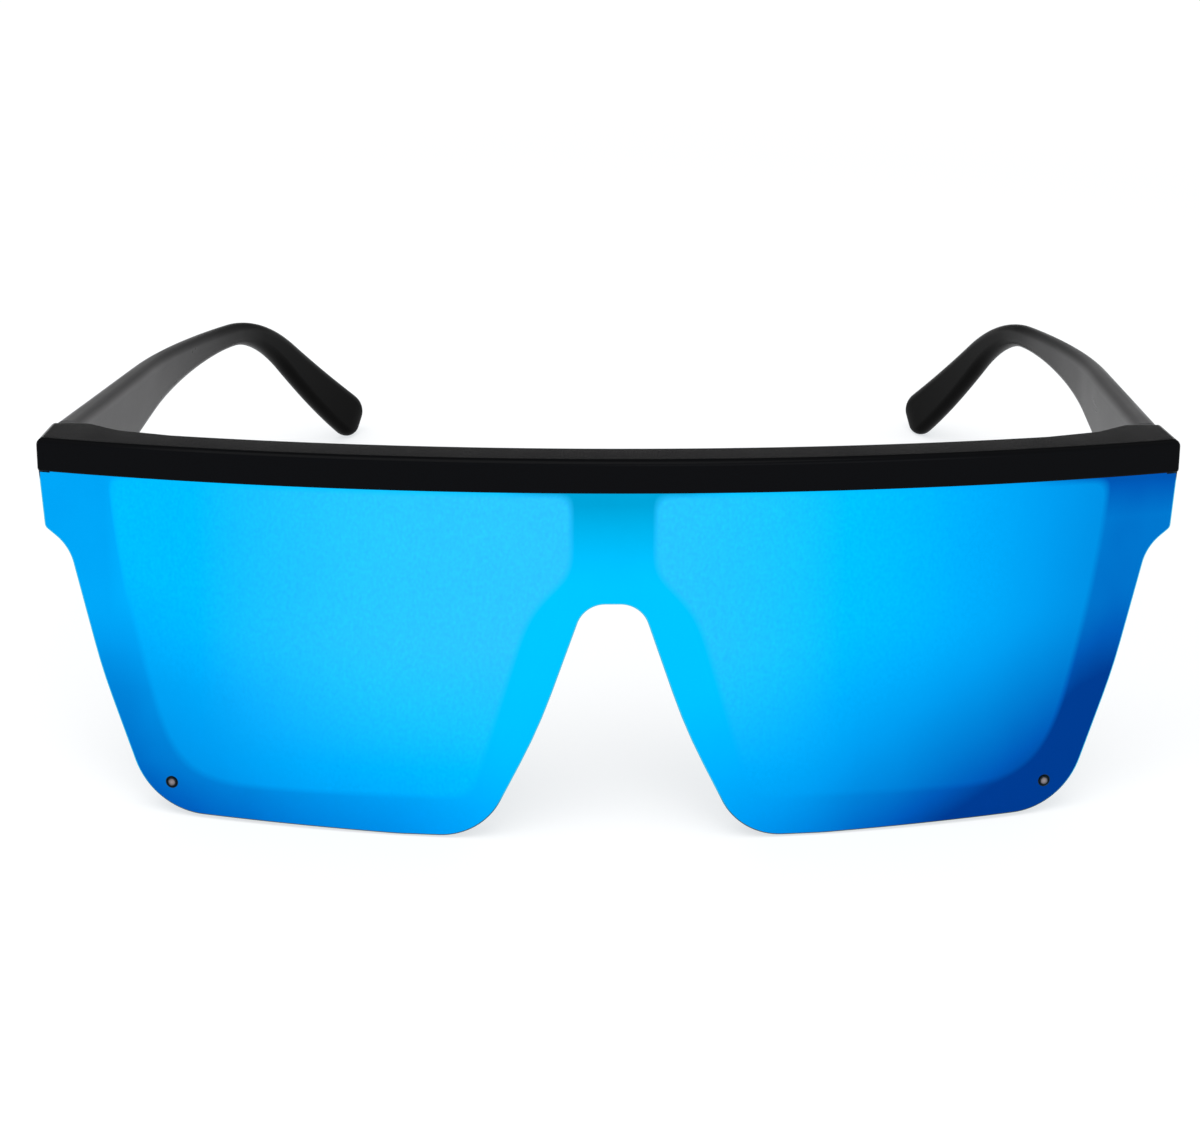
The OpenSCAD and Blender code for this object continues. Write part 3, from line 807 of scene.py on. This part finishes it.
def rims():
    """The rims behind the lens, open over both eyes."""
    half = LENS_HALF + [(FRONT_HALF, FRONT_TOP - BROW_ROUND, 0)]
    loops = [inset(resampled(rounded(both_halves(half), FINE_STEP), FINE_EDGE), RIM_INSET)]
    for side in SIDES:
        loops.append(resampled(rounded([(side * x, z, r) for x, z, r in EYE]), FINE_EDGE))
    first = LENS_T + BOND_GAP
    rings = [(0.1, first), (0, first + 0.1)] + soft_edge(first + RIM_T, 0.5, -1)
    return front_plate("rims", loops, rings, on_cylinder, FACE_PITCH)


def brow():
    """The brow bar and the tops of the endpieces in one slab, rounded along the top and a little below."""
    face_r = BASE_R + BROW_PROUD
    end = [
        (FRONT_HALF, sagitta(face_r, FRONT_HALF), 0.5),
        (FRONT_HALF, SEAM_Y, END_ROUND / 2),
        SEAM_INNER,
        SLOPE_FOOT,
    ]
    face_end, rear_end = FRONT_HALF - 1.2, END_X - 12
    plan = (
        arc_points(face_r, -face_end, face_end, 150)
        + end
        + arc_points(BASE_R - BROW_BACK, rear_end, -rear_end, 130)
        + [(-x, y, r) for x, y, r in reversed(end)]
    )
    top, foot = BROW_ROUND, 0.4
    rings = [(top * (1 - sin_d(a)), FRONT_TOP - top + top * cos_d(a)) for a in range(0, 91, 15)]
    rings += [(foot * (1 - cos_d(a)), BROW_Z + foot - foot * sin_d(a)) for a in range(0, 91, 30)]
    return front_plate("brow", [resampled(rounded(plan, SLAB_STEP), EDGE_LEN)], rings)


def brow_rear():
    """Behind the lens, the bar reaches a little lower."""
    half = 70
    plan = arc_points(RIM_FRONT_R - 0.4, -half, half, 2 * half)
    plan += arc_points(BASE_R - BROW_BACK, half, -half, 2 * half)
    rings = [(0, BROW_Z + 0.6)] + soft_edge(BROW_Z - 1.4, 0.5, 1)
    return front_plate("brow_rear", [resampled(rounded(plan), EDGE_LEN)], rings)


def endpiece(side):
    """An endpiece under the brow bar, down to the lens's ear. Inside, it is flush with the eye's opening."""
    outer_x, inner_x = FRONT_HALF - RIM_INSET, END_X - 4.3
    plan = arc_points(RIM_FRONT_R, inner_x, outer_x, 6)
    plan += [
        (outer_x, SEAM_Y, END_ROUND / 2), SEAM_INNER,
        (inner_x, sagitta(BASE_R, END_X) + BROW_BACK + 0.4, 1.2),
    ]
    plan = [(side * x, y, r) for x, y, r in plan]
    rings = [(0, BROW_Z + 0.5)] + soft_edge(END_LOW_Z, 0.6, 1)
    return front_plate("endpiece", [resampled(rounded(plan), EDGE_LEN)], rings)


def nose_rest(side):
    """Pad moulded behind the notch's side: a long low dome that opens towards the face."""
    # Shares of its width at the ends and added in the middle, and how flat and blunt its section is
    end_w, swell, flat, blunt = 0.75, 0.6, 1.5, 0.6
    rows, around = 24, 16
    foot_x, head_x = NOTCH_FOOT - 4.4, NOTCH_FOOT / 2 - 2.2
    middle_z = REST_FOOT_Z + REST_LEN / 2
    arc_r = ((REST_LEN / 2) ** 2 + REST_BACK ** 2) / (2 * REST_BACK)
    y0 = sagitta(RIM_BACK_R, foot_x) - RIM_T / 2
    verts = []
    for i in range(rows + 1):
        v = i / rows
        z = REST_FOOT_Z + REST_LEN * v
        lean_x = (head_x - foot_x) * v + REST_W / 2
        dome = math.sqrt(max(arc_r ** 2 - (z - middle_z) ** 2, 0)) - arc_r
        top = RIM_T / 2 + REST_BACK + dome
        half_w = REST_W / 2 * min(1, end_w + swell * math.sin(math.pi * v))
        for k in range(around + 1):
            a = math.pi * k / around
            px, py = lean_x - math.cos(a) * half_w, top * min(1, math.sin(a) * flat) ** blunt
            qx = px * math.cos(REST_SPLAY) + py * math.sin(REST_SPLAY)
            qy = py * math.cos(REST_SPLAY) - px * math.sin(REST_SPLAY)
            verts.append((side * (foot_x + RIM_INSET + qx), y0 + qy, z))
    n = around + 1
    faces = []
    for i in range(rows):
        for k in range(around):
            faces.append((i * n + k, i * n + k + 1, (i + 1) * n + k + 1, (i + 1) * n + k))
    faces.append(tuple(range(n)))
    faces.append(tuple(rows * n + k for k in reversed(range(n))))
    faces += [(i * n + n - 1, i * n, (i + 1) * n, (i + 1) * n + n - 1) for i in range(rows)]
    return new_mesh_object("nose_rest", verts, faces, [FRONT_BLACK])


def front():
    bars = [rims(), brow(), brow_rear()]
    ends = [endpiece(side) for side in SIDES]
    leaf_y = HINGE[1] - FRONT_LEAF_LEN - KNUCKLE_R / 2
    pockets = hinge_pockets(2, leaf_y - PRESS_GAP, SEAM_Y + 1)
    for side, end in zip(SIDES, ends):
        cutters = [placed(body, side, lambda v: (side * v[0], v[1], v[2])) for body in pockets]
        for obj in (*bars[1:], end):
            cut_away(obj, cutters)
    obj = joined("frame_front_moulded", bars + ends + [nose_rest(side) for side in SIDES])
    shaded(obj)
    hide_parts("frame_front")
    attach(obj, "front")


front()

# The temples. q is the distance run along a temple, seen from above

BEND_RUN = BEND_R * (sin_d(TIP_ANGLE) - sin_d(SLOPE))


def heading(q):
    return 0 if q < STRAIGHT else math.degrees((q - STRAIGHT) / CURVE_R)


def dip(q):
    if q < BEND_FROM:
        return SLOPE
    if q < BEND_FROM + BEND_RUN:
        return math.degrees(math.asin(sin_d(SLOPE) + (q - BEND_FROM) / BEND_R))
    return TIP_ANGLE


def drop(q):
    fall = min(q, BEND_FROM) * math.tan(math.radians(SLOPE))
    if q > BEND_FROM:
        fall += BEND_R * (cos_d(SLOPE) - cos_d(dip(q)))
    return fall + max(0, q - BEND_FROM - BEND_RUN) * math.tan(math.radians(TIP_ANGLE))


def soft(v):
    return math.sqrt(v * v + SOFT * SOFT) - SOFT


def blade_h(q):
    if q < WAIST_AT:
        return WAIST_H + (TEMPLE_H - WAIST_H) * soft(1 - q / WAIST_AT) / soft(1)
    v = min(1, (q - WAIST_AT) / FLARE_RUN)
    return WAIST_H + (TIP_H - WAIST_H) * v * v * (3 - 2 * v)


def section(q, share=1.0, corner=8):
    """Rounded rectangle as (depth from the outer side, height below the top edge).

    share shrinks its height, and its depth half as much.
    """
    most = 0.48
    t, h = TEMPLE_T + (TIP_T - TEMPLE_T) * q / RUN, blade_h(q)
    r = min(TEMPLE_ROUND, most * t * max(share, 0.5), most * h * share)
    half_t, half_h = t / 2 * (0.5 + 0.5 * share), h / 2 * share
    out = []
    for k in range(4):
        cx = half_t - r if k in (0, 3) else r - half_t
        cz = half_h - r if k < 2 else r - half_h
        for i in range(corner + 1):
            a = 90 * k + 90 * i / corner
            out.append((t / 2 - (cx + r * cos_d(a)), h / 2 - (cz + r * sin_d(a))))
    return out


def butt_point(p, back=0.0):
    """A point of the butt end, which lies in the plane of the seam, or back behind it."""
    x, splay = TEMPLE_HALF - p[0], math.radians(SPLAY)
    y = HINGE[1] + SEAM_GAP / (2 * math.cos(splay)) + (x - HINGE[0]) * math.tan(splay)
    return (x, y + back, FRONT_TOP - p[1])


def butt_rings():
    """The butt end's face and the foot of the small chamfer round it."""
    chamfer = 0.12
    full = section(0)
    mid_t, mid_h = TEMPLE_T / 2, TEMPLE_H / 2
    share_t, share_h = 1 - chamfer / mid_t, 0.982
    smaller = [(mid_t + (a - mid_t) * share_t, mid_h + (b - mid_h) * share_h) for a, b in full]
    return [[butt_point(p) for p in smaller], [butt_point(p, chamfer) for p in full]]


def on_path(q, p):
    """The point p of the section at q."""
    a, b = heading(q), dip(q)
    ahead = q if q < STRAIGHT else STRAIGHT + CURVE_R * sin_d(a)
    return (
        TEMPLE_HALF - CURVE_R * (1 - cos_d(a)) - p[0] * cos_d(a) + p[1] * sin_d(b) * sin_d(a),
        SEAM_Y + SEAM_GAP + ahead - p[0] * sin_d(a) - p[1] * sin_d(b) * cos_d(a),
        FRONT_TOP - drop(q) - p[1] * cos_d(b),
    )


def turned(side, p):
    """The point turned about the hinge as that side's temple is drawn, on its own side."""
    a = math.radians(LEFT_FOLD - SPLAY if side < 0 else -SPLAY)
    x, y = p[0] - HINGE[0], p[1] - HINGE[1]
    return (
        side * (HINGE[0] + x * math.cos(a) - y * math.sin(a)),
        HINGE[1] + x * math.sin(a) + y * math.cos(a),
        p[2],
    )


def temple(side):
    name = "temple_right" if side > 0 else "temple_left"
    # Rings along the taper, the flare and the end's cap, which closes a little short of its full length
    taper, flare, end, closed_at = 44, 40, 12, 0.985
    cap_at = RUN - TIP_ROUND
    stations = [(WAIST_AT * i / taper, 1.0) for i in range(1, taper)]
    stations += [(WAIST_AT + (cap_at - WAIST_AT) * i / flare, 1.0) for i in range(flare)]
    for i in range(end + 1):
        v = closed_at * sin_d(90 * i / end)
        stations.append((cap_at + TIP_ROUND * v, (1 - v ** TIP_SQUARE) ** (1 / TIP_SQUARE)))
    rings = butt_rings() + [[on_path(q, p) for p in section(q, share)] for q, share in stations]
    n = len(rings[0])
    verts = [turned(side, p) for ring in rings for p in ring]
    faces = [tuple(range(n)), tuple((len(rings) - 1) * n + i for i in reversed(range(n)))]
    for s in range(len(rings) - 1):
        for i in range(n):
            j = (i + 1) % n
            faces.append((s * n + i, (s + 1) * n + i, (s + 1) * n + j, s * n + j))
    obj = shaded(new_mesh_object(name + "_moulded", verts, faces, [TEMPLE_BLACK]))
    obj.modifiers.clear()
    pockets = hinge_pockets(10, SEAM_Y - 1, HINGE[1] + TEMPLE_LEAF_LEN + PRESS_GAP)
    cut_away(obj, [placed(body, side, partial(turned, side)) for body in pockets])
    shaded(obj)
    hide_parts(name)
    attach(obj, name)


for side in SIDES:
    temple(side)

# The metal parts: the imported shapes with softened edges

def softened(name, metal, width):
    source = frame["nodes"][name]
    obj = add_to_scene(bpy.data.objects.new(name + "_metal", source.data.copy()))
    obj.data.materials.clear()
    obj.data.materials.append(metal)
    bm = bmesh.new()
    bm.from_mesh(obj.data)
    bmesh.ops.remove_doubles(bm, verts=bm.verts, dist=SAME_POINT / 2)
    bmesh.ops.dissolve_limit(bm, angle_limit=math.radians(1), verts=bm.verts, edges=bm.edges)
    bm.to_mesh(obj.data)
    bm.free()
    bevel = obj.modifiers.new("bevel", "BEVEL")
    bevel.width, bevel.segments, bevel.angle_limit = width * MM, 2, math.radians(40)
    bevel.limit_method = "ANGLE"
    shaded(applied(obj))
    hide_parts(name)
    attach(obj, source["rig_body"])


for name in sorted(frame["nodes"]):
    if name.startswith("hinge_") and "leaf" in name:
        softened(name, HINGE_STEEL, 0.08)
    elif name.startswith("lens_pin"):
        softened(name, PIN_STEEL, 0.06)
    elif "screw" in name:
        softened(name, SCREW_STEEL, 0.05)

# The camera at the photograph's viewing angle

CAMERA_AT = (-9.5, -305.9, 120.9)
PITCH, YAW, ROLL = math.radians(15.23), math.radians(1.46), math.radians(0.40)
FOCAL, SENSOR = 74.72, 36


def place_camera():
    ahead = Vector((math.sin(YAW) * math.cos(PITCH), math.cos(YAW) * math.cos(PITCH), -math.sin(PITCH)))
    across = Vector((math.cos(YAW), -math.sin(YAW), 0))
    upward = across.cross(ahead)
    right = leaned(math.cos(ROLL) * across + math.sin(ROLL) * upward).normalized()
    top = leaned(math.cos(ROLL) * upward - math.sin(ROLL) * across).normalized()
    turn = Matrix((right, top, -leaned(ahead).normalized())).transposed().to_4x4()
    camera = add_to_scene(bpy.data.objects.new("camera", bpy.data.cameras.new("camera")))
    camera.data.sensor_width, camera.data.lens = SENSOR, FOCAL
    camera.data.clip_start, camera.data.clip_end = 0.01, 50
    camera.matrix_world = Matrix.Translation(to_row(CAMERA_AT)) @ turn
    bpy.context.scene.camera = camera


place_camera()

# The white table, white surroundings and soft light, in metres

TABLE_HALF = 3.0
AMBIENT = 0.6


def shown_white(tree, lit):
    """The lit shader with light added for rays that look or mirror straight at it, which makes it white.

    Near the glasses the added light is bluish, so that the table's shade there turns blue: painted light
    bounced off the blue lens.
    """
    path = node(tree, "ShaderNodeLightPath")
    seen = maths(tree, "MAXIMUM", path.outputs["Is Glossy Ray"], path.outputs["Is Transmission Ray"])
    glow = node(tree, "ShaderNodeEmission")
    tree.links.new(maths(tree, "MAXIMUM", path.outputs["Is Camera Ray"], seen), glow.inputs["Strength"])
    away = node(tree, "ShaderNodeVectorMath", operation="LENGTH")
    tree.links.new(node(tree, "ShaderNodeTexCoord").outputs["Object"], away.inputs[0])
    far = ranged(tree, away.outputs["Value"], (0, 1), (0.3, 0.8))
    # Painted light: bluish near the glasses, as if bounced off the blue lens, and plain further off
    blue_bounce_glow = ramp(tree, far, (0, (0.66, 0.685, 0.705)), (1, (0.79, 0.79, 0.79)))
    tree.links.new(blue_bounce_glow, glow.inputs["Color"])
    add = node(tree, "ShaderNodeAddShader")
    tree.links.new(lit, add.inputs[0])
    tree.links.new(glow.outputs[0], add.inputs[1])
    return add.outputs[0]


def emptied(owner, output_kind):
    """The owner's node tree with nothing but a new output, and that output's surface."""
    owner.use_nodes = True
    owner.node_tree.nodes.clear()
    return owner.node_tree, node(owner.node_tree, output_kind).inputs["Surface"]


def table():
    white = bpy.data.materials.new("white_table")
    tree, surface = emptied(white, "ShaderNodeOutputMaterial")
    # A little warm, so that the painted bluish light turns the table's shade near the glasses blue
    cover = node(tree, "ShaderNodeBsdfDiffuse", Color=(0.40, 0.385, 0.375, 1))
    tree.links.new(shown_white(tree, cover.outputs[0]), surface)
    bm = bmesh.new()
    bmesh.ops.create_grid(bm, x_segments=1, y_segments=1, size=TABLE_HALF)
    mesh = bpy.data.meshes.new("table")
    bm.to_mesh(mesh)
    bm.free()
    mesh.materials.append(white)
    add_to_scene(bpy.data.objects.new("table", mesh))


def studio():
    """White all round. Gloss sees a white studio too, with a darker wall behind the glasses."""
    world = bpy.data.worlds.new("studio")
    bpy.context.scene.world = world
    tree, surface = emptied(world, "ShaderNodeOutputWorld")
    path = node(tree, "ShaderNodeLightPath")
    direct = maths(tree, "MAXIMUM", path.outputs["Is Camera Ray"], path.outputs["Is Transmission Ray"])
    level = maths(tree, "MAXIMUM", AMBIENT, direct)
    behind = axes_of(tree, node(tree, "ShaderNodeTexCoord").outputs["Generated"])[1]
    mirrored = ranged(tree, behind, (1.0, 0.15), (0.3, 0.7))
    gloss = maths(tree, "MULTIPLY", path.outputs["Is Glossy Ray"], maths(tree, "SUBTRACT", mirrored, level))
    sky = node(tree, "ShaderNodeBackground", Color=(1, 1, 1, 1))
    tree.links.new(maths(tree, "ADD", level, gloss), sky.inputs["Strength"])
    tree.links.new(sky.outputs[0], surface)


def softbox(name, at, target, size, watts):
    light = bpy.data.lights.new(name, "AREA")
    light.shape, light.size, light.size_y, light.energy = "RECTANGLE", size[0], size[1], watts
    obj = add_to_scene(bpy.data.objects.new(name, light))
    obj.location = at
    obj.rotation_euler = (Vector(target) - Vector(at)).to_track_quat("-Z", "Y").to_euler()


table()
studio()
softbox("key_above", (-0.12, -0.32, 0.85), (0, 0, 0.02), (0.8, 0.6), 3.6)
softbox("fill_front", (0.3, -0.9, 0.5), (0, -0.06, 0.03), (0.6, 0.4), 1.0)
bpy.context.scene.view_settings.view_transform = "Standard"
